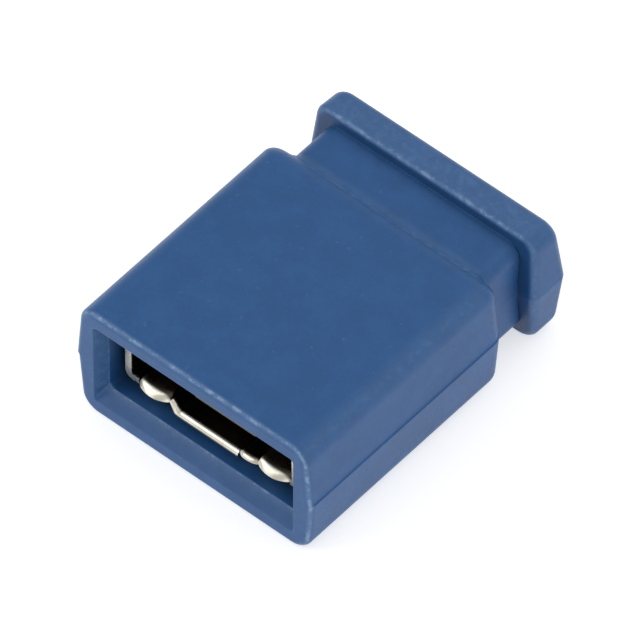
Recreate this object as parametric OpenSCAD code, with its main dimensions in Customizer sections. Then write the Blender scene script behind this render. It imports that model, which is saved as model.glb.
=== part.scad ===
// Jumper shunt with a finger grip, for two square header pins side by side.
// A moulded housing, open at one end, holds one folded sheet-metal contact.
// The shunt lies on a broad face: X runs across it, Y from the mouth to the grip, Z up.

/* [Pins] */
// Distance between the two header pins
pin_pitch = 2.54; // [2.40:0.02:2.66]
// Side of a square header pin
pin_side = 0.64; // [0.60:0.01:0.66]

/* [Body] */
// Width of the body at the parting line
body_w = 4.9; // [4.80:0.05:5.40]
// Thickness of the body
body_t = 2.42; // [2.30:0.02:2.90]
// Length of the body, from the mouth to the shoulder
body_l = 4.69; // [4.55:0.05:6.00]
// Draft of the moulded sides, in degrees
side_draft = 5; // [1:0.5:6]
// Radius of the body's four long edges
body_edge_r = 0.36; // [0.10:0.02:0.40]
// Radius round the mouth's face
mouth_edge_r = 0.12; // [0.04:0.01:0.16]
// Radius of the shoulder's edges across the broad faces
shoulder_edge_r = 0.34; // [0.10:0.02:0.40]
// Radius of the shoulder's corners seen from above
shoulder_corner_r = 0.24; // [0.10:0.02:0.40]
// Sideways step between the two mould halves
mould_step = 0.024; // [0:0.004:0.04]

/* [Neck] */
// How far the neck's sides lie inside the body's sides
neck_inset = 0.43; // [0.20:0.01:0.80]
// Thickness of the neck
neck_t = 1.96; // [1.40:0.02:2.10]
// Length of the neck, from the shoulder to the grip
neck_l = 0.78; // [0.50:0.02:2.00]
// Radius of the neck's long edges
neck_edge_r = 0.26; // [0.06:0.02:0.30]
// Radius of the coves where the neck meets the shoulder and the grip
neck_cove_r = 0.08; // [0.03:0.01:0.12]

/* [Grip] */
// Width of the grip bar at the parting line
grip_w = 4.76; // [4.50:0.02:6.00]
// Height of the grip bar
grip_h = 2.4; // [2.30:0.02:3.20]
// Thickness of the grip bar at the parting line
grip_t = 0.82; // [0.70:0.01:1.40]
// Draft of the grip bar's two broad faces, in degrees
grip_draft = 5.5; // [1:0.5:6]
// Radius of the grip bar's four corners
grip_corner_r = 0.36; // [0.20:0.02:0.60]
// Radius of the grip bar's outer edges
grip_edge_r = 0.17; // [0.06:0.01:0.20]

/* [Mouth] */
// Thickness of the rim at the two ends of the mouth
rim_side = 0.38; // [0.30:0.01:0.44]
// Thickness of the rim along the two broad sides of the mouth
rim_broad = 0.33; // [0.24:0.01:0.40]
// Depth of the straight entry behind the rim
entry_depth = 0.2; // [0.08:0.01:0.30]
// Length of the chamfer behind the entry
lead_depth = 0.07; // [0.03:0.01:0.12]
// How far the chamfer closes in at the two ends
lead_side = 0.1; // [0.04:0.01:0.12]
// How far the chamfer closes in on the two broad sides
lead_broad = 0.16; // [0.06:0.01:0.18]
// How far each end of the cavity closes in between the chamfer and the closed end
side_taper = 0.1; // [0.04:0.01:0.14]
// Thickness of the wall behind the cavity
back_wall = 0.5; // [0.30:0.02:1.00]

/* [Contact] */
// Thickness of the sheet metal
sheet_t = 0.13; // [0.10:0.01:0.14]
// Depth of the contact's front edge inside the mouth
contact_recess = 0.47; // [0.40:0.01:0.60]
// Outside radius of the folds
fold_r = 0.2; // [0.15:0.01:0.24]
// Gap between the contact's sides and the cavity at its closed end
side_gap = 0.03; // [0.01:0.005:0.05]
// Gap between the contact's broad walls and the cavity at its closed end
broad_gap = 0.03; // [0.01:0.005:0.05]
// Gap between the contact's back edge and the end of the cavity
end_gap = 0.1; // [0.03:0.01:0.20]
// Clearance between the pins and the contact's broad walls
pin_room = 0.05; // [0.02:0.01:0.08]

/* [Springs] */
// Width of a spring
spring_w = 0.58; // [0.40:0.02:0.66]
// Length of a spring, from its root to the front edge
spring_l = 2.45; // [1.50:0.05:2.60]
// How far a spring presses into the pin's place
spring_grip = 0.03; // [0:0.005:0.05]
// Distance from the front edge to the place where a spring touches its pin
touch_depth = 0.45; // [0.30:0.01:0.60]
// Width of the slits beside the springs
slit_w = 0.045; // [0.03:0.005:0.06]
// Distance that the spring's tip turns out
tip_flare = 0.06; // [0.02:0.005:0.09]
// How far the spring's tip stands ahead of the front edge
tip_lead = 0.04; // [0:0.01:0.08]
// Radius of the two corners at a spring's tip
tongue_r = 0.24; // [0.10:0.02:0.28]

/* [Centre land] */
// How far the land between the springs bulges out
land_bulge = 0.085; // [0.03:0.005:0.10]
// Length of the bulged stretch behind the front edge
land_l = 0.4; // [0.25:0.01:0.60]
// Length of the slope between the bulged stretch and the flat wall
land_ramp = 0.17; // [0.10:0.01:0.30]
// Gap between the lip turned out along the land's front and the cavity
lip_gap = 0.02; // [0.01:0.005:0.06]
// Width of the small ear beside the land
ear_w = 0.34; // [0.20:0.02:0.40]
// How far the land's other edge curls up
curl = 0.08; // [0.03:0.005:0.09]

/* [Retaining lances] */
// Length of a lance cut in each side wall
lance_l = 0.75; // [0.50:0.05:1.20]
// Width of a lance
lance_w = 0.34; // [0.20:0.02:0.40]
// Distance from the contact's front edge to the lance's free end
lance_from_front = 0.55; // [0.40:0.05:1.00]
// Gap left between the lance's free end and the cavity's side
lance_gap = 0.01; // [0.005:0.005:0.03]

/* [Hidden] */
$fn = 96;

// Small overrun of a cut past the face that it opens
over = 0.05;
// Depth by which joined forms run into each other
overlap = 0.3;
// Half size of a block that is larger than the whole shunt
reach = 20;

// Places along Y
shoulder_y = body_l;
grip_y = body_l + neck_l;
total_l = grip_y + grip_t;
cavity_end = body_l - back_wall;
contact_front = contact_recess;
contact_back = cavity_end - end_gap;
spring_root = contact_front + spring_l;

// Mouth and cavity half sizes: at the rim, behind the chamfer, and at the closed end
entry_half_w = body_w / 2 - rim_side;
entry_half_h = body_t / 2 - rim_broad;
throat_y = entry_depth + lead_depth;
throat_half_w = entry_half_w - lead_side;
throat_half_h = entry_half_h - lead_broad;
seat_half_w = throat_half_w - side_taper;

// Contact half sizes, outside
contact_half_h = pin_side / 2 + pin_room + sheet_t;
contact_half_w = seat_half_w - side_gap;
seat_half_h = contact_half_h + broad_gap;

// Middle of the sheet in the broad walls and the side walls
wall_z = contact_half_h - sheet_t / 2;
wall_x = contact_half_w - sheet_t / 2;

// Middle of the sheet where a spring touches its pin, and at its tip
touch_z = pin_side / 2 - spring_grip + sheet_t / 2;
tip_z = wall_z + tip_flare;
// Middle of the sheet on the bulged land and at the end of its lip
land_z = wall_z + land_bulge;
lip_z = cavity_half_h(contact_front + sheet_t) - lip_gap - sheet_t / 2;
lip_bend_r = lip_z - land_z;

// Spring's edges, with the outer one clear of the fold, and the land between the springs
spring_in = pin_pitch / 2 - spring_w / 2;
spring_out = min(pin_pitch / 2 + spring_w / 2, contact_half_w - fold_r - slit_w);
land_end = spring_in - slit_w;
ear_start = land_end - ear_w;

// End of the slope behind the land
ramp_end = contact_front + land_l + land_ramp;

// Setback of the grip bar's drafted face where the neck's coves reach it
grip_face_setback = (neck_t / 2 + neck_cove_r) * tan(grip_draft);

// Part of the way from the chamfer to the closed end at a distance y from the mouth
function taper_part(y) = (y - throat_y) / (cavity_end - throat_y);

// Half the cavity's width and half its height at a distance y from the mouth
function cavity_half_w(y) = throat_half_w + (seat_half_w - throat_half_w) * taper_part(y);
function cavity_half_h(y) = throat_half_h + (seat_half_h - throat_half_h) * taper_part(y);

// Extrudes an outline drawn in X and Z along Y, from y_from to y_to
module along_y(y_from, y_to) {
    translate([0, y_to, 0]) rotate([90, 0, 0]) linear_extrude(y_to - y_from) children();
}

// Extrudes an outline drawn in Y and Z along X, from x_from to x_to
module along_x(x_from, x_to) {
    translate([x_from, 0, 0]) rotate([90, 0, 90]) linear_extrude(x_to - x_from) children();
}

// Half of a drafted outline, from the middle out to its side, with two rounded corners
module half_outline(side, half_h, draft, corner) {
    centre_h = half_h - corner;
    centre_x = side - corner / cos(draft) - centre_h * tan(draft);
    tangent = [centre_x + corner * cos(draft), centre_h + corner * sin(draft)];
    polygon([
        [0, -half_h], [centre_x, -half_h], [tangent.x, -tangent.y],
        [side, 0],
        [tangent.x, tangent.y], [centre_x, half_h], [0, half_h]
    ]);
    for (s = [-1, 1]) translate([centre_x, s * centre_h]) circle(corner);
}

// Drafted outline with the same corners on both sides
module outline(half_w, half_h, draft, corner) {
    half_outline(half_w, half_h, draft, corner);
    mirror([1, 0]) half_outline(half_w, half_h, draft, corner);
}

// Body: a drafted block with small radii at the mouth and larger ones at the shoulder
module body_form() {
    middle = body_l / 2;
    intersection() {
        along_y(-reach, reach) outline(body_w / 2, body_t / 2, side_draft, body_edge_r);
        along_x(-reach, reach) translate([middle, 0]) {
            half_outline(middle, body_t / 2, 0, shoulder_edge_r);
            mirror([1, 0]) half_outline(middle, body_t / 2, 0, mouth_edge_r);
        }
        translate([0, middle, -reach]) linear_extrude(2 * reach) rotate(90) {
            half_outline(middle, body_w / 2, 0, shoulder_corner_r);
            mirror([1, 0]) half_outline(middle, body_w / 2, 0, mouth_edge_r);
        }
    }
}

// Cove that fills the corner between a side and a face, drawn in its own corner
module cove_outline() {
    difference() {
        translate([-over, -over]) square(neck_cove_r + over);
        translate([neck_cove_r, neck_cove_r]) circle(neck_cove_r);
    }
}

// Coves along the neck's two sides and two broad faces, where it meets a face at y = 0
module neck_coves(half_w, half_h) {
    side_run = half_h - neck_edge_r;
    broad_run = half_w - neck_edge_r;
    for (turn = [0, 180]) rotate([0, turn, 0]) {
        translate([half_w, 0, -side_run]) linear_extrude(2 * side_run) cove_outline();
        translate([-broad_run, 0, half_h]) rotate([90, 0, 90])
            linear_extrude(2 * broad_run) cove_outline();
        for (s = [-1, 1]) translate([broad_run, 0, s * side_run])
            rotate([-90, 0, 0]) rotate(s > 0 ? -90 : 0) rotate_extrude(angle = 90)
                translate([neck_edge_r, 0]) cove_outline();
    }
}

// Neck between the body and the grip bar
module neck_form() {
    half_w = body_w / 2 - neck_inset;
    half_h = neck_t / 2;
    along_y(shoulder_y - overlap, grip_y + overlap) outline(half_w, half_h, 0, neck_edge_r);
    translate([0, shoulder_y, 0]) neck_coves(half_w, half_h);
    translate([0, grip_y + grip_face_setback, 0]) mirror([0, 1, 0]) neck_coves(half_w, half_h);
}

// Grip bar across the end of the neck
module grip_form() {
    middle = grip_y + grip_t / 2;
    intersection() {
        along_y(-reach, reach) outline(grip_w / 2, grip_h / 2, side_draft, grip_corner_r);
        along_x(-reach, reach) translate([middle, 0])
            outline(grip_t / 2, grip_h / 2, grip_draft, grip_edge_r);
        translate([0, middle, -reach]) linear_extrude(2 * reach) rotate(90)
            outline(grip_t / 2, grip_w / 2, 0, grip_edge_r);
    }
}

// Splits a form at the parting plane and sets the two mould halves a little out of line
module mould_halves() {
    for (s = [-1, 1]) translate([-s * mould_step / 2, 0, 0]) intersection() {
        children();
        translate([0, 0, s * reach / 2]) cube([reach, reach, reach], center = true);
    }
}

// Cavity: straight entry, chamfer, and a seat that narrows towards its closed end
module cavity() {
    intersection() {
        linear_extrude(2 * reach, center = true) polygon([
            [-entry_half_w, -over], [entry_half_w, -over],
            [entry_half_w, entry_depth], [throat_half_w, throat_y], [seat_half_w, cavity_end],
            [-seat_half_w, cavity_end], [-throat_half_w, throat_y], [-entry_half_w, entry_depth]
        ]);
        along_x(-reach, reach) polygon([
            [-over, -entry_half_h], [entry_depth, -entry_half_h],
            [throat_y, -throat_half_h], [cavity_end, -seat_half_h],
            [cavity_end, seat_half_h], [throat_y, throat_half_h],
            [entry_depth, entry_half_h], [-over, entry_half_h]
        ]);
    }
}

// Moulded housing with its finger grip
module housing() {
    color([0.20, 0.35, 0.57]) place() difference() {
        mould_halves() {
            body_form();
            neck_form();
            grip_form();
        }
        cavity();
    }
}

// Strip of sheet metal that follows a path of points, in the plane of the outline
module sheet_path(points) {
    for (i = [0 : len(points) - 2]) {
        step = points[i + 1] - points[i];
        translate(points[i]) rotate(atan2(step.y, step.x))
            translate([0, -sheet_t / 2]) square([norm(step), sheet_t]);
    }
    for (p = points) translate(p) circle(sheet_t / 2);
}

// Spring under one pin: it rises to touch the pin, then its tip turns out again
module spring(x_from) {
    half_w = (spring_out - spring_in) / 2;
    tip_y = contact_front - tip_lead;
    half_l = (spring_root - tip_y) / 2 + overlap;
    intersection() {
        along_x(x_from, x_from + 2 * half_w) sheet_path([
            [spring_root, -wall_z],
            [contact_front + touch_depth, -touch_z],
            [contact_front + sheet_t, -(wall_z + touch_z) / 2],
            [tip_y + sheet_t / 2, -tip_z]
        ]);
        translate([x_from + half_w, tip_y + half_l, -reach]) linear_extrude(2 * reach)
            outline(half_w, half_l, 0, min(tongue_r, half_w - over));
    }
}

// Land between the springs: a bulged stretch with a bent lip, a curled edge and a small ear
module land() {
    bulge_end = contact_front + land_l;
    front_y = contact_front + sheet_t / 2;
    bend = [for (turn = [0 : 15 : 90])
        [front_y + lip_bend_r * (1 - sin(turn)), -land_z - lip_bend_r * (1 - cos(turn))]];
    along_x(-land_end + curl, ear_start - slit_w)
        sheet_path(concat([[ramp_end, -wall_z], [bulge_end, -land_z]], bend));
    along_y(contact_front, ramp_end) sheet_path([
        [-land_end + sheet_t / 2, -wall_z],
        [-land_end + sheet_t / 2 + curl, -land_z]
    ]);
    along_x(ear_start, land_end) sheet_path([
        [ramp_end, -wall_z],
        [contact_front + sheet_t, -wall_z],
        [front_y, -tip_z]
    ]);
}

// Lance cut in a side wall and bent out, with its free end towards the mouth
module lance() {
    tip_y = contact_front + lance_from_front;
    tip_x = cavity_half_w(tip_y) - lance_gap - sheet_t / 2;
    translate([0, 0, -lance_w / 2]) linear_extrude(lance_w) sheet_path([
        [wall_x, tip_y + lance_l],
        [tip_x, tip_y + sheet_t / 2]
    ]);
}

// Openings cut in one broad wall and one side wall, before the sprung parts go in
module wall_openings() {
    depth = 2 * sheet_t;
    for (side = [-1, 1]) {
        from = side < 0 ? -spring_out - slit_w : spring_in - slit_w;
        translate([from, -over, -contact_half_h - depth / 2])
            cube([spring_out - spring_in + 2 * slit_w, spring_root + over, 2 * depth]);
    }
    translate([-land_end, -over, -contact_half_h - depth / 2])
        cube([2 * land_end, ramp_end + over, 2 * depth]);
    translate([wall_x - depth / 2, contact_front + lance_from_front - slit_w, -lance_w / 2 - slit_w])
        cube([2 * depth, lance_l + slit_w, lance_w + 2 * slit_w]);
}

// Contact: one sheet folded to a flat tube, with two springs and a land in each broad wall
module contact() {
    inner_r = fold_r - sheet_t;
    color([0.86, 0.80, 0.66]) place() {
        difference() {
            along_y(contact_front, contact_back) difference() {
                outline(contact_half_w, contact_half_h, 0, fold_r);
                outline(contact_half_w - sheet_t, contact_half_h - sheet_t, 0, inner_r);
            }
            for (turn = [0, 180]) rotate([0, turn, 0]) wall_openings();
        }
        for (turn = [0, 180]) rotate([0, turn, 0]) {
            spring(-spring_out);
            spring(spring_in);
            land();
            lance();
        }
    }
}

// Puts the origin in the middle of the shunt's footprint, on the surface that it lies on
module place() {
    translate([0, -total_l / 2, max(body_t, grip_h) / 2]) children();
}

housing();
contact();
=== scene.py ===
import math

import bmesh
import bpy
from mathutils import Matrix, Vector


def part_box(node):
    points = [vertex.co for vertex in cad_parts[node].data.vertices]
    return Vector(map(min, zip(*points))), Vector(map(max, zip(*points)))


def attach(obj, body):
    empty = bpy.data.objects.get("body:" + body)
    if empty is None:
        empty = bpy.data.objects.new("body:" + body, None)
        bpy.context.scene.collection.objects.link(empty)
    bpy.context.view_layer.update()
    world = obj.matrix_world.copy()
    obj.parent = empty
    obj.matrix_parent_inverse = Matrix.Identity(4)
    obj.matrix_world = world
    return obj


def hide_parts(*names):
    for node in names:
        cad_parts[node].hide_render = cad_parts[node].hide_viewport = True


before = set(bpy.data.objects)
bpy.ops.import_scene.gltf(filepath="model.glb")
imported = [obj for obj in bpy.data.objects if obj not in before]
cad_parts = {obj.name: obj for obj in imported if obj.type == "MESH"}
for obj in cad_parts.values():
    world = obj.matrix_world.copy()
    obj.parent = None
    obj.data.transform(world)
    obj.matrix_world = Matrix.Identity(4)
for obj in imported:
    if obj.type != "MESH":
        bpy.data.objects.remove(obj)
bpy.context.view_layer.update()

# Sizes are in millimetres. y runs from the mouth, z from the middle of the thickness.
MM = 0.001
low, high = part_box("housing")
MOUTH_Y = low.y / MM
MIDDLE_Z = (low.z + high.z) / 2 / MM

# Housing: body
BODY_HALF_W, BODY_HALF_H, BODY_L = 2.45, 1.21, 4.69
SIDE_DRAFT = math.radians(5)
LONG_EDGE_R, MOUTH_EDGE_R = 0.36, 0.12
MOULD_STEP, STEP_HEIGHT = 0.024, 0.012

# Housing: shoulder and neck
SHOULDER_TOP_R, SHOULDER_SIDE_R, SHOULDER_CORNER_R = 0.38, 0.26, 0.3
SHOULDER_COVE_R, SIDE_COVE_R, GRIP_COVE_R = 0.36, 0.12, 0.008
NECK_HALF_W, NECK_HALF_H, NECK_EDGE_R = 2.02, 0.98, 0.26

# Housing: grip bar
GRIP_Y, GRIP_END = 5.47, 6.29
GRIP_HALF_W, GRIP_HALF_H = 2.38, 1.2
GRIP_DRAFT = math.radians(5.5)
GRIP_EDGE_R, GRIP_NEAR_R, GRIP_NEAR_SIDE_R = 0.17, 0.1, 0.13
GRIP_CORNER_R, GRIP_TOP_CORNER_R, GRIP_LOW_CORNER_R = 0.34, 0.28, 0.36
GRIP_ROOT_CORNER_R, GRIP_MIDDLE_R = 0.2, 0.01
GRIP_STEP = 0.12

# Housing: mouth and cavity
ENTRY_HALF_W, ENTRY_HALF_H = 2.07, 0.88
ENTRY_CORNER_R, ENTRY_EDGE_R, ENTRY_SLOPE = 0.07, 0.035, math.radians(34)
THROAT_HALF_W, THROAT_HALF_H, THROAT_CORNER_R, THROAT_Y = 1.97, 0.72, 0.12, 0.27
SEAT_HALF_W, SEAT_HALF_H, SEAT_Y = 1.87, 0.53, 4.19

# Wear and painted light, as shares of the palest tone: painted highlights along edges and painted
# lightening of faces that lie in shade, over some real wear
MOUTH_WEAR_AND_HIGHLIGHT, BODY_EDGE_WEAR_AND_HIGHLIGHT = 1.25, 0.5
SHOULDER_WEAR_AND_LIGHT, SHOULDER_FACE_WEAR_AND_LIGHT, SHOULDER_EDGE_WEAR_AND_HIGHLIGHT, NECK_EDGE_WEAR_AND_HIGHLIGHT = 0.85, 0.5, 0.3, 0.2
GRIP_TOP_WEAR_AND_LIGHT, GRIP_CREST_WEAR_AND_HIGHLIGHT, GRIP_NEAR_WEAR_AND_HIGHLIGHT, GRIP_FAR_WEAR_AND_HIGHLIGHT = 0.52, 0.75, 0.65, 0.4
ENTRY_WEAR_AND_HIGHLIGHT, ENTRY_END_WEAR_AND_LIGHT, ENTRY_SIDE_WEAR_AND_LIGHT = 0.5, 0.15, 0.6

# Loss of light in the cavity and round the corner before the grip, and how far it reaches
CAVITY_DARK, CAVITY_DARKENING, CAVITY_DARKEST = 0.06, 1.7, 0.93
NECK_DARK, NECK_DARK_REACH = 0.25, 0.3
GRIP_DARK, GRIP_DARK_REACH = 0.4, 0.26
EDGE_TOLERANCE = 0.004

# Contact
SHEET = 0.13
FRONT_Y, BACK_Y = 0.47, 4.09
WALL_X, WALL_Z, FOLD_R = 1.735, 0.435, 0.09
SPRING_W, SPRING_ROOT, SLIT = 0.575, 2.92, 0.045
LEFT_SPRING, RIGHT_SPRING = -1.185, 1.2975
TOUCH_Y, TOUCH_Z = 0.92, 0.355
SPRING_BEND, TONGUE_BEND, TONGUE_TIP = 0.1, (0.492, -0.439), (0.4215, -0.5255)
TONGUE_L, TONGUE_DISH = 0.3, 0.03
TONGUE_CUT_RIGHT, TONGUE_CUT_LEFT = 0.15, 0.09
LAND_Z, LAND_BACK, RAMP_END = 0.565, 0.87, 1.04
LIP_Y, LIP_BEND, LIP_Z = 0.51, 0.025, 0.61
LAND_EDGE_L, LAND_EDGE_RISE = 0.3, 0.07
EAR_W, EAR_Y, EAR_Z, EAR_BEND, EAR_LIP = 0.34, 0.49, 0.53, 0.02, 0.022
EAR_TIP_L, EAR_CUT, EAR_TILT = 0.25, 0.05, 0.03
CURL = 0.08
CONTACT_SHIFT = -0.02
LANCE_FRONT, LANCE_BACK, LANCE_HALF = 1.02, 1.77, 0.17
LANCE_TIP_X = 1.875
SHARP_ANGLE = math.radians(40)
WELD = 0.001

QUARTER = math.pi / 2


def steps(count):
    """Even fractions from 0 to 1."""
    return [i / count for i in range(count + 1)]


def blend(a, b, part):
    return a + (b - a) * part


def between(start, end, count):
    """Evenly spaced values from start to end."""
    return [blend(start, end, part) for part in steps(count)]


def eased(part):
    """The part with a soft start and a soft end."""
    return part * part * (3 - 2 * part)


def hump(part):
    """0 at both ends of a stretch and 1 half-way."""
    return math.sin(math.pi * part)


def place(point):
    """A point in the sizes above, in the frame's metres."""
    x, y, z = point
    return Vector((x, y + MOUTH_Y, z + MIDDLE_Z)) * MM


def face_outwards(mesh, sharp_angle=None):
    """Turns all faces outwards and shades them smooth, except at edges over a sharp angle."""
    work = bmesh.new()
    work.from_mesh(mesh)
    bmesh.ops.recalc_face_normals(work, faces=work.faces)
    for face in work.faces:
        face.smooth = True
    if sharp_angle is not None:
        for edge in work.edges:
            edge.smooth = edge.calc_face_angle(0.0) < sharp_angle
    work.to_mesh(mesh)
    work.free()


# ---------------------------------------------------------------- housing


class Station:
    """One ring round the moulding.

    top holds y and half the height at the broad faces, and side holds y and half the width at the
    sides. lean is the share of the grip's draft (-1 on its far face), and step the share of the
    step between the mould halves. The last values are wear with painted light (painted highlights
    on edges, faces painted lighter where they lie in shade): on the whole ring, on its long
    edges, on its broad faces and on its sides.
    """

    def __init__(self, top, side, corner, draft=0.0, low_corner=None, lean=0.0, step=1.0,
                 edge=0.0, long_edge=BODY_EDGE_WEAR_AND_HIGHLIGHT, crown=0.0, flank=0.0):
        self.top_y, self.half_h = top
        self.side_y, self.half_w = side
        self.corner, self.draft = corner, draft
        self.low_corner = corner if low_corner is None else low_corner
        self.lean, self.step = lean, step
        self.edge, self.long_edge = edge, long_edge
        self.crown, self.flank = crown, flank


# Heights of points by the parting line, and shares of the way up the side and across the top
SIDE_HEIGHTS = (0, 0.004, 0.008, 0.012, 0.016, 0.03, 0.06, 0.1)
FULL_SIDE_HEIGHT = 0.2
SIDE_PARTS = (0.2, 0.45, 0.7, 0.9, 0.98)
TOP_PARTS = (0.02, 0.08, 0.2, 0.4, 0.6, 0.8, 1.0)
CORNER_STEPS = 12


def quadrant(station, r):
    """Points of a quarter ring with corner radius r.

    Each is x, z, how far it is round the corner, and its share of the way from side to top.
    """
    d = station.draft
    centre_z = station.half_h - r
    centre_x = station.half_w - r / math.cos(d) - centre_z * math.tan(d)
    tangent_z = centre_z + r * math.sin(d)
    tangent_x = centre_x + r * math.cos(d)
    points = []
    crowding = min(1.0, tangent_z / FULL_SIDE_HEIGHT)
    heights = [h * crowding for h in SIDE_HEIGHTS]
    heights += [blend(heights[-1], tangent_z, part) for part in SIDE_PARTS]
    for z in heights:
        points.append((station.half_w - z * math.tan(d), z, 0.0, 0.0))
    for part in steps(CORNER_STEPS):
        angle = blend(d, QUARTER, part)
        points.append((centre_x + r * math.cos(angle), centre_z + r * math.sin(angle),
                       hump(part), part))
    points[len(heights)] = (tangent_x, tangent_z, 0.0, 0.0)
    for part in TOP_PARTS:
        points.append((centre_x * (1 - part), station.half_h, 0.0, 1.0))
    return points


def ring(station):
    """A whole ring of points with the wear and painted light that each one gets."""
    up, down = quadrant(station, station.corner), quadrant(station, station.low_corner)
    turned = up + [(-x, z, bend, share) for x, z, bend, share in reversed(up[:-1])]
    turned += [(-x, -z, bend, share) for x, z, bend, share in down[1:]]
    turned += [(x, -z, bend, share) for x, z, bend, share in reversed(down[1:-1])]
    points, wear_and_painted_light = [], []
    for x, z, bend, share in turned:
        y = blend(station.side_y, station.top_y, eased(share))
        y += station.lean * abs(z) * math.tan(GRIP_DRAFT)
        half_way = max(-1.0, min(1.0, z / STEP_HEIGHT))
        x -= station.step * half_way * MOULD_STEP / 2
        points.append((x, y, z))
        wear_and_painted_light.append(max(station.edge, station.long_edge * bend ** 3, station.crown * share,
                        station.flank * (1 - share)))
    return points, wear_and_painted_light


def rounding(angle, radius):
    """How far an edge's rounding has come along the part, and how far it still lies inside."""
    return radius * (1 - math.cos(angle)), radius * (1 - math.sin(angle))


# Shoulder on the broad faces: a rounding, and a cove that meets it at SHOULDER_TURN
ROUND_START = BODY_L - SHOULDER_TOP_R
ROUND_Z = BODY_HALF_H - SHOULDER_TOP_R
COVE_Z = NECK_HALF_H + SHOULDER_COVE_R
SHOULDER_RISE = COVE_Z - ROUND_Z
SHOULDER_RUN = math.sqrt((SHOULDER_TOP_R + SHOULDER_COVE_R) ** 2 - SHOULDER_RISE ** 2)
SHOULDER_TURN = math.atan2(SHOULDER_RUN, SHOULDER_RISE)
COVE_END = ROUND_START + SHOULDER_RUN

NECK_END = GRIP_Y - GRIP_COVE_R
GRIP_COVE_Z = NECK_HALF_H + GRIP_COVE_R
GRIP_COVE_X = NECK_HALF_W + GRIP_COVE_R


def body_stations():
    """The rounding round the mouth's face, and the body up to the shoulder."""
    # The mouth's rounding carries wear and a painted highlight.
    for part in steps(9):
        y, inset = rounding(part * QUARTER, MOUTH_EDGE_R)
        yield Station((y, BODY_HALF_H - inset), (y, BODY_HALF_W - inset),
                      LONG_EDGE_R - inset, SIDE_DRAFT, edge=MOUTH_WEAR_AND_HIGHLIGHT * hump(part) ** 3)
    for part in (0.004, 0.02, 0.08, 0.2, 0.35, 0.5, 0.65, 0.8, 0.92, 0.98, 0.996):
        y = blend(MOUTH_EDGE_R, ROUND_START, part)
        yield Station((y, BODY_HALF_H), (y, BODY_HALF_W), LONG_EDGE_R, SIDE_DRAFT)


def shoulder_stations():
    """The broad faces round over and run into the cove. The sides round to a flat face."""
    side_x = BODY_HALF_W - SHOULDER_SIDE_R
    # Wear and painted light: the crown and flank values lighten the shoulder and its cove where
    # they lie in shade.
    for part in steps(12):
        a, b = part * SHOULDER_TURN, part * QUARTER
        top = (ROUND_START + SHOULDER_TOP_R * math.sin(a),
               ROUND_Z + SHOULDER_TOP_R * math.cos(a))
        side = (BODY_L - SHOULDER_SIDE_R + SHOULDER_SIDE_R * math.sin(b),
                side_x + SHOULDER_SIDE_R * math.cos(b))
        yield Station(top, side, blend(LONG_EDGE_R, SHOULDER_CORNER_R, part), SIDE_DRAFT,
                      long_edge=SHOULDER_EDGE_WEAR_AND_HIGHLIGHT, crown=SHOULDER_WEAR_AND_LIGHT * part ** 3)
    face_steps, cove_steps = 3, 6
    for i in range(1, face_steps + cove_steps + 1):
        part = i / (face_steps + cove_steps)
        phi = SHOULDER_TURN * (1 - part)
        top = (COVE_END - SHOULDER_COVE_R * math.sin(phi),
               COVE_Z - SHOULDER_COVE_R * math.cos(phi))
        if i <= face_steps:
            side = (BODY_L, blend(side_x, NECK_HALF_W + SIDE_COVE_R, i / face_steps))
        else:
            turn = QUARTER * (1 - (i - face_steps) / cove_steps)
            side = (BODY_L + SIDE_COVE_R * (1 - math.sin(turn)),
                    NECK_HALF_W + SIDE_COVE_R * (1 - math.cos(turn)))
        yield Station(top, side, blend(SHOULDER_CORNER_R, NECK_EDGE_R, part),
                      SIDE_DRAFT * (1 - part), step=blend(1, GRIP_STEP, part),
                      long_edge=NECK_EDGE_WEAR_AND_HIGHLIGHT, crown=SHOULDER_WEAR_AND_LIGHT * (1 - part),
                      flank=SHOULDER_FACE_WEAR_AND_LIGHT * (1 - part))


def neck_stations():
    """The neck, and the small cove at its end."""
    for part in (0.02, 0.1, 0.3, 0.5, 0.7, 0.9, 0.98):
        yield Station((blend(COVE_END, NECK_END, part), NECK_HALF_H),
                      (blend(BODY_L + SIDE_COVE_R, NECK_END, part), NECK_HALF_W),
                      NECK_EDGE_R, lean=part, step=GRIP_STEP, long_edge=NECK_EDGE_WEAR_AND_HIGHLIGHT)
    for part in steps(5):
        phi = part * QUARTER
        y = NECK_END + GRIP_COVE_R * math.sin(phi)
        yield Station((y, GRIP_COVE_Z - GRIP_COVE_R * math.cos(phi)),
                      (y, NECK_HALF_W + GRIP_COVE_R * (1 - math.cos(phi))),
                      blend(NECK_EDGE_R, GRIP_ROOT_CORNER_R, part), SIDE_DRAFT * part,
                      lean=1.0, step=GRIP_STEP, long_edge=0.0)


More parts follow.
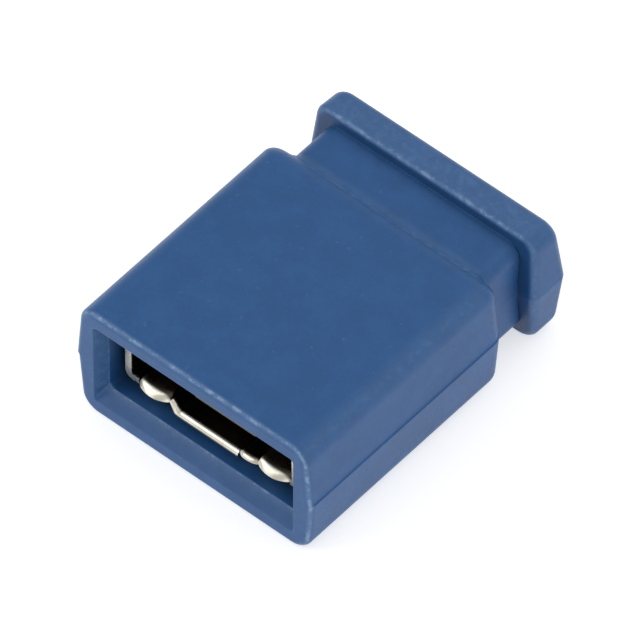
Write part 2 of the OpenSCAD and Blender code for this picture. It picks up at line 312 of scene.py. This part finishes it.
def grip_stations():
    """The grip bar, whose near edge is sharper than its far one, to the middle of its back."""
    # Near face
    near_z, near_x = GRIP_HALF_H - GRIP_NEAR_R, GRIP_HALF_W - GRIP_NEAR_SIDE_R
    near_top, near_low = GRIP_TOP_CORNER_R - GRIP_NEAR_R, GRIP_LOW_CORNER_R - GRIP_NEAR_R
    for part in (0.05, 0.3, 0.6, 0.85, 0.97):
        yield Station((GRIP_Y, blend(GRIP_COVE_Z, near_z, part)),
                      (GRIP_Y, blend(GRIP_COVE_X, near_x, part)),
                      blend(GRIP_ROOT_CORNER_R, near_top, part), SIDE_DRAFT,
                      low_corner=blend(GRIP_ROOT_CORNER_R, near_low, part),
                      lean=1.0, step=GRIP_STEP, long_edge=0.0)
    # Near edge, with wear and a painted highlight along its crest
    for part in steps(7):
        forward, inset = rounding(part * QUARTER, GRIP_NEAR_R)
        side_forward, side_inset = rounding(part * QUARTER, GRIP_NEAR_SIDE_R)
        yield Station((GRIP_Y + forward, GRIP_HALF_H - inset),
                      (GRIP_Y + side_forward, GRIP_HALF_W - side_inset),
                      GRIP_TOP_CORNER_R - inset, SIDE_DRAFT,
                      low_corner=GRIP_LOW_CORNER_R - inset, lean=1.0, step=GRIP_STEP,
                      edge=GRIP_NEAR_WEAR_AND_HIGHLIGHT * hump(part),
                      crown=GRIP_TOP_WEAR_AND_LIGHT * part + GRIP_CREST_WEAR_AND_HIGHLIGHT * hump(part) ** 2)
    # Broad faces and sides, whose tops are painted lighter
    far_y = GRIP_END - GRIP_EDGE_R
    for part in (0.03, 0.15, 0.35, 0.5, 0.65, 0.85, 0.97):
        yield Station((blend(GRIP_Y + GRIP_NEAR_R, far_y, part), GRIP_HALF_H),
                      (blend(GRIP_Y + GRIP_NEAR_SIDE_R, far_y, part), GRIP_HALF_W),
                      blend(GRIP_TOP_CORNER_R, GRIP_CORNER_R, part), SIDE_DRAFT,
                      low_corner=GRIP_LOW_CORNER_R, lean=1 - 2 * part, step=GRIP_STEP,
                      crown=GRIP_TOP_WEAR_AND_LIGHT)
    # Far edge, with wear and a painted highlight
    for part in steps(9):
        back, inset = rounding((1 - part) * QUARTER, GRIP_EDGE_R)
        y = GRIP_END - back
        yield Station((y, GRIP_HALF_H - inset), (y, GRIP_HALF_W - inset),
                      GRIP_CORNER_R - inset, SIDE_DRAFT,
                      low_corner=GRIP_LOW_CORNER_R - inset, lean=-1.0, step=GRIP_STEP,
                      edge=GRIP_FAR_WEAR_AND_HIGHLIGHT * hump(part), crown=GRIP_TOP_WEAR_AND_LIGHT * (1 - part))
    # Far face
    edge_z, edge_x = GRIP_HALF_H - GRIP_EDGE_R, GRIP_HALF_W - GRIP_EDGE_R
    for part in (0.02, 0.1, 0.3, 0.55, 0.8, 0.97):
        shrink, left = edge_z * part, 1 - part
        yield Station((GRIP_END, edge_z - shrink), (GRIP_END, edge_x - shrink),
                      (GRIP_CORNER_R - GRIP_EDGE_R) * left + GRIP_MIDDLE_R, SIDE_DRAFT * left,
                      low_corner=(GRIP_LOW_CORNER_R - GRIP_EDGE_R) * left + GRIP_MIDDLE_R,
                      lean=-1.0, step=GRIP_STEP, long_edge=0.0)


# How far along the lead-in a ring stands, and its wear with painted light: palest, as a painted
# highlight, at the throat's edge
LEAD_IN = ((0.05, 0.1), (0.3, 0.1), (0.6, 0.25), (0.85, 0.6), (0.95, 0.9), (0.985, 1.0))

# y, half the width, half the height and corner radius, from the throat to the closed end
CAVITY = (
    (THROAT_Y + 0.006, 1.9685, 0.716, THROAT_CORNER_R),
    (0.295, 1.967, 0.713, THROAT_CORNER_R),
    (0.4, 1.965, 0.709, 0.1),
    (0.8, 1.956, 0.694, 0.07),
    (1.6, 1.936, 0.655, 0.07),
    (2.9, 1.903, 0.593, 0.07),
    (SEAT_Y - 0.06, SEAT_HALF_W, SEAT_HALF_H, 0.07),
    (SEAT_Y, SEAT_HALF_W - 0.05, SEAT_HALF_H - 0.05, 0.04),
    (SEAT_Y, SEAT_HALF_W - 0.3, 0.2, 0.03),
    (SEAT_Y, 1.3, 0.02, 0.012),
)


def inner_stations():
    """Stations inside the mouth, from the rim to the cavity's closed end."""
    # The rim's face
    rim_w, rim_h = ENTRY_HALF_W + ENTRY_EDGE_R, ENTRY_HALF_H + ENTRY_EDGE_R
    outer_w, outer_h = BODY_HALF_W - MOUTH_EDGE_R, BODY_HALF_H - MOUTH_EDGE_R
    outer_corner, rim_corner = LONG_EDGE_R - MOUTH_EDGE_R, ENTRY_CORNER_R + ENTRY_EDGE_R
    for part in (0.03, 0.15, 0.5, 0.85, 0.97):
        yield Station((0, blend(outer_h, rim_h, part)), (0, blend(outer_w, rim_w, part)),
                      blend(outer_corner, rim_corner, part), SIDE_DRAFT * (1 - part),
                      step=1 - part, long_edge=0.0)
    # The entry's rounded edge and the sloped lead-in, with wear and painted light, and the cavity
    for part in steps(4):
        y, inset = rounding(part * (QUARTER - ENTRY_SLOPE), ENTRY_EDGE_R)
        yield Station((y, ENTRY_HALF_H + inset), (y, ENTRY_HALF_W + inset),
                      ENTRY_CORNER_R + inset, step=0, long_edge=0.0,
                      edge=ENTRY_WEAR_AND_HIGHLIGHT * hump(part) + ENTRY_END_WEAR_AND_LIGHT * part)
    lead_y, lead_h, lead_w = y, ENTRY_HALF_H + inset, ENTRY_HALF_W + inset
    for part, wear_and_painted_light in LEAD_IN:
        y = blend(lead_y, THROAT_Y, part)
        yield Station((y, blend(lead_h, THROAT_HALF_H, part)),
                      (y, blend(lead_w, THROAT_HALF_W, part)),
                      blend(ENTRY_CORNER_R, THROAT_CORNER_R, part), step=0, long_edge=0.0,
                      edge=wear_and_painted_light, flank=ENTRY_SIDE_WEAR_AND_LIGHT)
    for y, half_w, half_h, corner in CAVITY:
        yield Station((y, half_h), (y, half_w), corner, step=0, long_edge=0.0)


def loft(stations):
    """Vertices, faces and wear with painted light of a closed skin through the rings of all
    stations.
    """
    points, wear_and_painted_light = [], []
    for station in stations:
        ring_points, ring_wear_and_painted_light = ring(station)
        points += ring_points
        wear_and_painted_light += ring_wear_and_painted_light
    count = len(points) // len(stations)
    faces = []
    for j in range(len(stations) - 1):
        near, far = j * count, (j + 1) * count
        for i in range(count):
            k = (i + 1) % count
            faces.append((near + i, near + k, far + k, far + i))
    for j in (0, len(stations) - 1):
        first, middle = j * count, len(points)
        points.append((0.0, points[first][1], 0.0))
        wear_and_painted_light.append(0.0)
        for i in range(count):
            faces.append((first + i, first + (i + 1) % count, middle))
    return points, faces, wear_and_painted_light


def darkness(point, inside):
    """How much light a point loses: in the cavity, and in the corner before the grip bar."""
    x, y, z = point
    if inside:
        depth = y - THROAT_Y
        if depth < EDGE_TOLERANCE:
            return 0.0
        return min(CAVITY_DARKEST, CAVITY_DARK + depth * CAVITY_DARKENING)
    beyond = y - abs(z) * math.tan(GRIP_DRAFT) - GRIP_Y
    if beyond > EDGE_TOLERANCE:
        return 0.0
    if beyond < -GRIP_COVE_R:
        return NECK_DARK * max(0.0, 1 + beyond / NECK_DARK_REACH) ** 2
    out = max(abs(z) - NECK_HALF_H, abs(x) - NECK_HALF_W)
    return GRIP_DARK * (1 - min(1.0, max(0.0, out / GRIP_DARK_REACH)) ** 2)


def build_housing(plastic):
    """The moulding as one closed skin, with its wear and painted light, and its loss of light, as
    attributes.
    """
    inner = list(inner_stations())
    outer = [*body_stations(), *shoulder_stations(), *neck_stations(), *grip_stations()]
    points, faces, wear_and_painted_light = loft(inner[::-1] + outer)
    inner_count = len(inner) * len(ring(inner[0])[0])
    closed_end = len(points) - 2
    depth = [darkness(point, i < inner_count or i == closed_end)
             for i, point in enumerate(points)]
    mesh = bpy.data.meshes.new("moulded_housing")
    mesh.from_pydata([place(point) for point in points], [], faces)
    for name, values in (("wear_and_painted_light", wear_and_painted_light), ("depth", depth)):
        mesh.attributes.new(name, "FLOAT", "POINT").data.foreach_set("value", values)
    face_outwards(mesh)
    mesh.materials.append(plastic)
    made = bpy.data.objects.new("moulded_housing", mesh)
    bpy.context.scene.collection.objects.link(made)
    return made


# ---------------------------------------------------------------- contact


def along(path, count):
    """Evenly spaced points on a path, with both its ends."""
    lengths = [0.0]
    for a, b in zip(path, path[1:]):
        lengths.append(lengths[-1] + math.dist(a, b))
    found = []
    for part in steps(count):
        want = part * lengths[-1]
        i = max(k for k in range(len(path) - 1) if lengths[k] <= want + 1e-9)
        share = (want - lengths[i]) / max(lengths[i + 1] - lengths[i], 1e-9)
        found.append(tuple(blend(a, b, share) for a, b in zip(path[i], path[i + 1])))
    return found


def rounded(path, reach):
    """A path with a smooth bend, of the given reach, at each of its inner corners."""
    found = [path[0]]
    for before, corner, after in zip(path, path[1:], path[2:]):
        lead, trail = math.dist(before, corner), math.dist(corner, after)
        held = min(reach, lead * 0.49, trail * 0.49)
        start = [blend(c, b, held / lead) for c, b in zip(corner, before)]
        end = [blend(c, a, held / trail) for c, a in zip(corner, after)]
        for t in steps(5):
            found.append(tuple((1 - t) ** 2 * s + 2 * t * (1 - t) * c + t * t * e
                               for s, c, e in zip(start, corner, end)))
    found.append(path[-1])
    return found


def tip_share(path, y, length):
    """1 at the tip of the path, falling to 0 at the given length from it."""
    return max(0.0, 1 - (y - path[-1][0]) / length)


def turned_down(y, z, radius, end_z):
    """A sheet that comes forward at height z, turns down at y and ends at end_z."""
    bend = [(y - radius * math.sin(t * QUARTER), z - radius * (1 - math.cos(t * QUARTER)))
            for t in steps(8)]
    return [(RAMP_END, -WALL_Z), (LAND_BACK, z)] + bend + [(y - radius, end_z)]


# Paths of the lower wall's tongues, as y and z from the back to the front
SPRING_PATH = along(rounded([(SPRING_ROOT, -WALL_Z), (TOUCH_Y, -TOUCH_Z), TONGUE_BEND,
                             TONGUE_TIP], SPRING_BEND), 44)
LAND_PATH = along(turned_down(LIP_Y, -LAND_Z, LIP_BEND, -LIP_Z), 40)
EAR_PATH = along(turned_down(EAR_Y, -EAR_Z, EAR_BEND, -EAR_Z - EAR_LIP), 36)

# Columns across the lower wall, from left to right
REACH = SPRING_W / 2
FLAT_END, SIDE_END = WALL_X - FOLD_R, WALL_Z - FOLD_R
LAND_START, LAND_END = LEFT_SPRING + REACH + SLIT, RIGHT_SPRING - REACH - SLIT
EAR_START = LAND_END - EAR_W
FLAT_LEFT = between(-FLAT_END, LEFT_SPRING - REACH - SLIT, 2)
SPRING_LEFT = between(LEFT_SPRING - REACH, LEFT_SPRING + REACH, 10)
LAND_XS = between(LAND_START, EAR_START - SLIT, 24)
EAR_XS = between(EAR_START, LAND_END, 8)
SPRING_RIGHT = between(RIGHT_SPRING - REACH, RIGHT_SPRING + REACH, 10)
FLAT_RIGHT = between(RIGHT_SPRING + REACH + SLIT, FLAT_END, 1)

# Rows along the wall, some of them at the cuts round the lances
CUT_FRONT = LANCE_FRONT - SLIT
FRONT_ROWS = sorted({*between(FRONT_Y, SPRING_ROOT, 24), CUT_FRONT, LANCE_FRONT, LANCE_BACK})
BACK_ROWS = between(SPRING_ROOT, BACK_Y, 8)
ROWS = FRONT_ROWS + BACK_ROWS[1:]
SIDE_LEVELS = (-SIDE_END, -LANCE_HALF - SLIT, -LANCE_HALF, -LANCE_HALF / 2, 0.0)


class Surface:
    """A thin surface that is built strip by strip, with shared points."""

    def __init__(self):
        self.points, self.faces, self.index = [], [], {}

    def vertex(self, point):
        key = tuple(round(c, 5) for c in point)
        if key not in self.index:
            self.index[key] = len(self.points)
            self.points.append(point)
        return self.index[key]

    def strip(self, columns, keep=lambda i, j: True):
        """Faces between neighbouring columns of points, where keep(column, row) allows one."""
        grid = [[self.vertex(point) for point in column] for column in columns]
        for i, (a, b) in enumerate(zip(grid, grid[1:])):
            for j in range(len(a) - 1):
                if keep(i, j):
                    self.faces.append((a[j], a[j + 1], b[j + 1], b[j]))


def add_side_wall(surface, side):
    """The lower half of a side wall with its fold, and half of its lance, which is bent out."""
    turns = between(0, QUARTER, 6)
    surface.strip([[(side * (FLAT_END + FOLD_R * math.sin(a)), y, -SIDE_END - FOLD_R * math.cos(a))
                    for y in ROWS] for a in turns])

    def stands_at(y, z):
        on_lance = LANCE_FRONT - 1e-6 < y < LANCE_BACK and z > -LANCE_HALF - 1e-6
        part = (LANCE_BACK - y) / (LANCE_BACK - LANCE_FRONT) if on_lance else 0.0
        return side * blend(WALL_X, LANCE_TIP_X, part)

    def is_sheet(i, j):
        z, y = (SIDE_LEVELS[i] + SIDE_LEVELS[i + 1]) / 2, (ROWS[j] + ROWS[j + 1]) / 2
        beside = -LANCE_HALF - SLIT < z < -LANCE_HALF and CUT_FRONT < y < LANCE_BACK
        ahead = z > -LANCE_HALF and CUT_FRONT < y < LANCE_FRONT
        return not (beside or ahead)

    surface.strip([[(stands_at(y, z), y, z) for y in ROWS] for z in SIDE_LEVELS], is_sheet)


def add_spring(surface, xs):
    """A spring with a rounded, slightly dished tongue at its tip."""
    middle = (xs[0] + xs[-1]) / 2
    columns = []
    for x in xs:
        across = (x - middle) * 2 / SPRING_W
        cut = TONGUE_CUT_RIGHT * across ** 2 if across > 0 else -TONGUE_CUT_LEFT * across ** 3
        column = []
        for y, z in SPRING_PATH:
            tip = tip_share(SPRING_PATH, y, TONGUE_L)
            column.append((x, y + cut * tip ** 2, z + TONGUE_DISH * across ** 2 * tip))
        columns.append(column)
    surface.strip(columns)


def add_land(surface):
    """The land, whose left edge climbs back to the wall, and the ear beside it."""
    columns = []
    for x in LAND_XS:
        climb = eased(min(1.0, (x - LAND_XS[0]) / (2 * CURL)))
        column = []
        for y, z in LAND_PATH:
            start_z = -WALL_Z + LAND_EDGE_RISE * tip_share(LAND_PATH, y, LAND_EDGE_L)
            column.append((x, y, blend(start_z, z, climb)))
        columns.append(column)
    surface.strip(columns)
    columns = []
    for x in EAR_XS:
        share = (x - EAR_XS[0]) / EAR_W
        across = 2 * share - 1
        column = []
        for y, z in EAR_PATH:
            tip = tip_share(EAR_PATH, y, EAR_TIP_L)
            column.append((x, y + EAR_CUT * abs(across) ** 3 * tip, z + EAR_TILT * share * tip))
        columns.append(column)
    surface.strip(columns)


def half_wall():
    """Middle surface of the lower broad wall and of the lower half of each side wall."""
    surface = Surface()
    all_xs = FLAT_LEFT + SPRING_LEFT + LAND_XS + EAR_XS + SPRING_RIGHT + FLAT_RIGHT
    surface.strip([[(x, y, -WALL_Z) for y in BACK_ROWS] for x in all_xs])
    middle_rows = between(RAMP_END, SPRING_ROOT, 12)
    surface.strip([[(x, y, -WALL_Z) for y in middle_rows] for x in LAND_XS + EAR_XS])
    for side, flat in ((-1, FLAT_LEFT), (1, FLAT_RIGHT)):
        surface.strip([[(x, y, -WALL_Z) for y in FRONT_ROWS] for x in flat])
        add_side_wall(surface, side)
    add_spring(surface, SPRING_LEFT)
    add_spring(surface, SPRING_RIGHT)
    add_land(surface)
    return surface


def two_walls_tree(metal):
    """Geometry nodes: a half wall, and the same one turned half round the shunt's length."""
    tree = bpy.data.node_groups.new("two_walls", "GeometryNodeTree")
    face = tree.interface
    face.new_socket("Half wall", in_out="INPUT", socket_type="NodeSocketGeometry")
    for name, kind, value in (("Walls", "NodeSocketInt", 2),
                              ("Middle height", "NodeSocketFloat", 0.0),
                              ("Turn of each wall", "NodeSocketFloat", math.pi),
                              ("Weld distance", "NodeSocketFloat", 0.0)):
        face.new_socket(name, in_out="INPUT", socket_type=kind).default_value = value
    face.new_socket("Metal", in_out="INPUT", socket_type="NodeSocketMaterial")
    face.new_socket("Contact", in_out="OUTPUT", socket_type="NodeSocketGeometry")

    def node(kind, **inputs):
        made = tree.nodes.new(kind)
        for name, source in inputs.items():
            socket = made.inputs[name.replace("_", " ")]
            if isinstance(source, bpy.types.NodeSocket):
                tree.links.new(source, socket)
            else:
                socket.default_value = source
        return made

    given = tree.nodes.new("NodeGroupInput").outputs
    height = node("ShaderNodeCombineXYZ", Z=given["Middle height"])
    line = node("GeometryNodeMeshLine", Count=given["Walls"], Start_Location=height.outputs[0],
                Offset=(0, 0, 0))
    turn = tree.nodes.new("ShaderNodeMath")
    turn.operation = "MULTIPLY"
    tree.links.new(tree.nodes.new("GeometryNodeInputIndex").outputs[0], turn.inputs[0])
    tree.links.new(given["Turn of each wall"], turn.inputs[1])
    rotation = node("ShaderNodeCombineXYZ", Y=turn.outputs[0])
    placed = node("GeometryNodeInstanceOnPoints", Points=line.outputs[0],
                  Instance=given["Half wall"], Rotation=rotation.outputs[0])
    real = node("GeometryNodeRealizeInstances", Geometry=placed.outputs[0])
    welded = node("GeometryNodeMergeByDistance", Geometry=real.outputs[0],
                  Distance=given["Weld distance"])
    dressed = node("GeometryNodeSetMaterial", Geometry=welded.outputs[0],
                   Material=given["Metal"])
    tree.links.new(dressed.outputs[0], tree.nodes.new("NodeGroupOutput").inputs[0])
    return tree


def plain_mesh(maker):
    """The object's mesh with its modifiers applied, facing outwards, smooth up to its corners."""
    graph = bpy.context.evaluated_depsgraph_get()
    mesh = bpy.data.meshes.new_from_object(maker.evaluated_get(graph))
    face_outwards(mesh, SHARP_ANGLE)
    return mesh


def build_contact(metal):
    """Folded contact, thickened in millimetres and then brought to metres."""
    surface = half_wall()
    half = bpy.data.meshes.new("half_wall")
    half.from_pydata([(x, y + MOUTH_Y, z) for x, y, z in surface.points], [], surface.faces)
    maker = bpy.data.objects.new("half_wall", half)
    bpy.context.scene.collection.objects.link(maker)
    tree = two_walls_tree(metal)
    walls = maker.modifiers.new("two_walls", "NODES")
    walls.node_group = tree
    wanted = {"Middle height": MIDDLE_Z, "Weld distance": WELD, "Metal": metal}
    for item in tree.interface.items_tree:
        if item.item_type == "SOCKET" and item.name in wanted:
            walls[item.identifier] = wanted[item.name]
    middle = plain_mesh(maker)
    bpy.data.objects.remove(maker)

    thick = bpy.data.objects.new("folded_contact", middle)
    bpy.context.scene.collection.objects.link(thick)
    sheet = thick.modifiers.new("sheet", "SOLIDIFY")
    sheet.thickness, sheet.offset = SHEET, 0
    mesh = plain_mesh(thick)
    thick.modifiers.clear()
    mesh.transform(Matrix.Scale(MM, 4) @ Matrix.Translation((CONTACT_SHIFT, 0, 0)))
    thick.data = mesh
    return thick


# ---------------------------------------------------------------- materials

BLUE_DEEP, BLUE_PALE = (0.009, 0.082, 0.253), (0.013, 0.097, 0.292)
BLUE_WORN_AND_LIT, BLUE_SPECK, BLUE_SHADED = (0.19, 0.32, 0.52), (0.24, 0.33, 0.46), (0.016, 0.026, 0.038)
PLATING_DULL, PLATING_BRIGHT = (0.68, 0.64, 0.53), (0.82, 0.79, 0.70)
PLATING_SHADED, LIP_SHADED = (0.05, 0.038, 0.022), (0.10, 0.12, 0.15)
FLOOR_COLOUR, WHITE = (0.8, 0.8, 0.8), (1.0, 1.0, 1.0)

# y over which the plating is painted dark as shade, and distance from the middle over which its
# lips are painted dark as shade
SHADE_START, SHADE_END = 0.475, 0.525
LIP_SHADE_START, LIP_SHADE_END = 0.56, 0.59


class Value:
    """A number that a node gives, usable in arithmetic."""

    def __init__(self, sheet, socket):
        self.sheet, self.socket = sheet, socket

    def _math(self, operation, *values):
        return self.sheet.node("ShaderNodeMath", {"operation": operation}, *values)

    def __add__(self, other):
        return self._math("ADD", self, other)

    def __sub__(self, other):
        return self._math("SUBTRACT", self, other)

    def __rsub__(self, other):
        return self._math("SUBTRACT", other, self)

    def __mul__(self, other):
        return self._math("MULTIPLY", self, other)

    def __pow__(self, other):
        return self._math("POWER", self, other)

    def __abs__(self):
        return self._math("ABSOLUTE", self)

    __radd__, __rmul__ = __add__, __mul__


class Finish:
    """A material under construction."""

    def __init__(self, name):
        self.material = bpy.data.materials.new(name)
        self.material.use_nodes = True
        self.tree = self.material.node_tree
        self.tree.nodes.clear()

    def feed(self, socket, value):
        """Links a Value to a socket, or sets a number, a vector or a colour on it."""
        if isinstance(value, Value):
            self.tree.links.new(value.socket, socket)
        elif isinstance(value, tuple) and socket.type == "RGBA":
            socket.default_value = (*value, 1.0)
        else:
            socket.default_value = value

    def node(self, kind, settings=None, *values, output=0, **named):
        """Adds a node: its settings first, then the values or links of its sockets."""
        made = self.tree.nodes.new(kind)
        for name, value in (settings or {}).items():
            setattr(made, name, value)
        for index, value in enumerate(values):
            self.feed(made.inputs[index], value)
        for name, value in named.items():
            self.feed(made.inputs[name.replace("_", " ")], value)
        return Value(self, made.outputs[output])

    def attribute(self, name):
        return self.node("ShaderNodeAttribute", {"attribute_name": name}, output="Fac")

    def position(self, axis):
        """The point's x, y or z in the frame's metres."""
        point = self.node("ShaderNodeTexCoord", output="Object")
        return self.node("ShaderNodeSeparateXYZ", None, point, output=axis)

    def noise(self, scale, detail=2.0, roughness=0.5, stretch=(1, 1, 1)):
        """Noise around 0.5, at a scale in blobs per millimetre."""
        point = self.node("ShaderNodeTexCoord", output="Object")
        where = self.node("ShaderNodeMapping", None, point,
                          Scale=tuple(s / MM for s in stretch))
        return self.node("ShaderNodeTexNoise", None, where, Scale=scale, Detail=detail,
                         Roughness=roughness)

    def spread(self, value, low, high):
        """Maps low..high softly to 0..1, with the ends held."""
        return self.node("ShaderNodeMapRange", {"interpolation_type": "SMOOTHSTEP"}, value,
                         From_Min=low, From_Max=high)

    def mix(self, part, a, b):
        """Colour a where the part is 0 and colour b where it is 1."""
        made = self.tree.nodes.new("ShaderNodeMix")
        made.data_type = "RGBA"
        for index, value in ((0, part), (6, a), (7, b)):
            self.feed(made.inputs[index], value)
        return Value(self, made.outputs[2])

    def bump(self, height, distance, strength=1.0, below=None):
        extra = {"Normal": below} if below else {}
        return self.node("ShaderNodeBump", None, Height=height, Distance=distance * MM,
                         Strength=strength, **extra)

    def surface(self, shader):
        out = self.tree.nodes.new("ShaderNodeOutputMaterial")
        self.tree.links.new(shader.socket, out.inputs["Surface"])
        return self.material


def moulded_blue():
    """Matte blue moulding: faint mottling, pale worn edges with painted highlights, faces painted
    lighter or darker for light and shade, a few pale specks.
    """
    f = Finish("moulded_blue")
    wear_and_painted_light, depth = f.attribute("wear_and_painted_light"), f.attribute("depth")
    mottle = f.noise(2.2, 4.0, 0.6)
    grain = f.noise(14.0, 3.0, 0.6)
    colour = f.mix(f.spread(mottle * 0.7 + grain * 0.3, 0.36, 0.64), BLUE_DEEP, BLUE_PALE)
    patchiness = f.spread(f.noise(7.0, 4.0, 0.7), 0.44, 0.66)
    # Wear and painted light in one pale tone: painted highlights on edges, painted lightening of
    # shaded faces.
    worn_and_lit = wear_and_painted_light * (0.27 + 0.65 * patchiness * wear_and_painted_light ** 2)
    colour = f.mix(worn_and_lit, colour, BLUE_WORN_AND_LIT)
    specks = f.spread(f.noise(11.0, 1.0, 0.4), 0.74, 0.78)
    colour = f.mix(specks * 0.1, colour, BLUE_SPECK)
    # Painted shade in the cavity and in the corner before the grip.
    colour = f.mix(depth, colour, BLUE_SHADED)
    rough = 0.44 + (grain - 0.5) * 0.25 - worn_and_lit * 0.1
    fine = f.bump(f.noise(26.0, 3.0, 0.55), 0.006, 0.55)
    wavy = f.bump(f.noise(1.3, 2.0, 0.5), 0.02, 0.5, fine)
    shader = f.node("ShaderNodeBsdfPrincipled", Base_Color=colour, Roughness=rough, IOR=1.5,
                    Normal=wavy)
    return f.surface(shader)


def plated_sheet():
    """Pale plating on rolled sheet, uneven in tone and gloss, with painted shade inside the cavity
    and on its lips.
    """
    f = Finish("plated_sheet")
    tone = f.noise(3.0, 3.0, 0.6)
    drawn = f.noise(6.0, 3.0, 0.6, (1.0, 0.15, 1.0))
    colour = f.mix(f.spread(tone, 0.35, 0.65), PLATING_DULL, PLATING_BRIGHT)
    # Painted shade: dark past the mouth, and dark on the lips away from the middle.
    inside = f.spread(f.position("Y"), (MOUTH_Y + SHADE_START) * MM, (MOUTH_Y + SHADE_END) * MM)
    colour = f.mix(inside * 0.95, colour, PLATING_SHADED)
    height = abs(f.position("Z") - MIDDLE_Z * MM)
    lip = f.spread(height, LIP_SHADE_START * MM, LIP_SHADE_END * MM)
    colour = f.mix(lip * 0.8, colour, LIP_SHADED)
    rough = 0.20 + drawn * 0.18
    skin = f.bump(drawn, 0.003, 0.5)
    shader = f.node("ShaderNodeBsdfPrincipled", Base_Color=colour, Metallic=1.0,
                    Roughness=rough, Normal=skin)
    return f.surface(shader)


def pale_floor():
    """White floor that stays white behind the shunt and in its reflections, with its shadow."""
    f = Finish("pale_floor")
    seen = f.node("ShaderNodeLightPath", output="Is Camera Ray")
    mirrored = f.node("ShaderNodeLightPath", output="Is Glossy Ray")
    lit = f.node("ShaderNodeBsdfDiffuse", Color=FLOOR_COLOUR)
    glow = f.node("ShaderNodeEmission", Color=WHITE,
                  Strength=seen * 0.35 + mirrored * 0.33 + 0.2)
    return f.surface(f.node("ShaderNodeAddShader", None, lit, glow))


# ---------------------------------------------------------------- pieces

moulding = build_housing(moulded_blue())
contact = build_contact(plated_sheet())

for piece, node in ((moulding, "housing"), (contact, "contact")):
    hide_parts(node)
    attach(piece, "root")

# ---------------------------------------------------------------- stage

FLOOR_REACH = 0.6
LIT_STRENGTH, SEEN_STRENGTH = 0.6, 1.0

scene = bpy.context.scene
scene.view_settings.view_transform = "Standard"

floor_mesh = bpy.data.meshes.new("floor")
floor_mesh.from_pydata([(x * FLOOR_REACH, y * FLOOR_REACH, 0)
                        for x, y in ((-1, -1), (1, -1), (1, 1), (-1, 1))], [], [(0, 1, 2, 3)])
floor = bpy.data.objects.new("floor", floor_mesh)
scene.collection.objects.link(floor)
floor_mesh.materials.append(pale_floor())

world = bpy.data.worlds.new("studio")
scene.world = world
world.use_nodes = True
nodes, links = world.node_tree.nodes, world.node_tree.links
paths = nodes.new("ShaderNodeLightPath")
strength = nodes.new("ShaderNodeMapRange")
strength.inputs["To Min"].default_value = LIT_STRENGTH
strength.inputs["To Max"].default_value = SEEN_STRENGTH
links.new(paths.outputs["Is Camera Ray"], strength.inputs["Value"])
links.new(strength.outputs[0], nodes["Background"].inputs["Strength"])
nodes["Background"].inputs["Color"].default_value = (*WHITE, 1)


def softbox(name, azimuth, elevation, distance, size, power):
    """Square area lamp aimed at the shunt; azimuth 0 stands in front of the mouth, 90 at +X."""
    a, e = math.radians(azimuth), math.radians(elevation)
    away = Vector((math.sin(a) * math.cos(e), -math.cos(a) * math.cos(e), math.sin(e)))
    lamp = bpy.data.lights.new(name, "AREA")
    lamp.size, lamp.energy = size, power
    made = bpy.data.objects.new(name, lamp)
    made.location = away * distance
    made.rotation_euler = away.to_track_quat("Z", "Y").to_euler()
    scene.collection.objects.link(made)


softbox("key", -40, 35, 0.05, 0.03, 0.0045)
softbox("fill", 75, 30, 0.06, 0.05, 0.004)
softbox("top", 160, 75, 0.06, 0.05, 0.002)
softbox("back", 175, 38, 0.06, 0.05, 0.003)

# ---------------------------------------------------------------- camera

CAMERA_HEADING, CAMERA_DOWN, CAMERA_ROLL = 2.288052, 0.878229, -0.005053
CAMERA_DISTANCE = 0.3
TARGET = (0.045093, 3.002862, 0)
VIEW_WIDTH = 10.091056
SENSOR_WIDTH = 36

camera_data = bpy.data.cameras.new("camera")
camera = bpy.data.objects.new("camera", camera_data)
scene.collection.objects.link(camera)
scene.camera = camera
ahead = Vector((math.cos(CAMERA_HEADING) * math.cos(CAMERA_DOWN),
                math.sin(CAMERA_HEADING) * math.cos(CAMERA_DOWN),
                -math.sin(CAMERA_DOWN)))
level = ahead.cross(Vector((0, 0, 1))).normalized()
upright = level.cross(ahead)
roll_cos, roll_sin = math.cos(CAMERA_ROLL), math.sin(CAMERA_ROLL)
right, up = level * roll_cos + upright * roll_sin, upright * roll_cos - level * roll_sin
turn = Matrix((right, up, -ahead)).transposed().to_4x4()
camera.matrix_world = Matrix.Translation(place(TARGET) - ahead * CAMERA_DISTANCE) @ turn
camera_data.sensor_width = SENSOR_WIDTH
camera_data.lens = SENSOR_WIDTH * (CAMERA_DISTANCE / MM) / VIEW_WIDTH
camera_data.clip_start, camera_data.clip_end = 0.01, 3.0
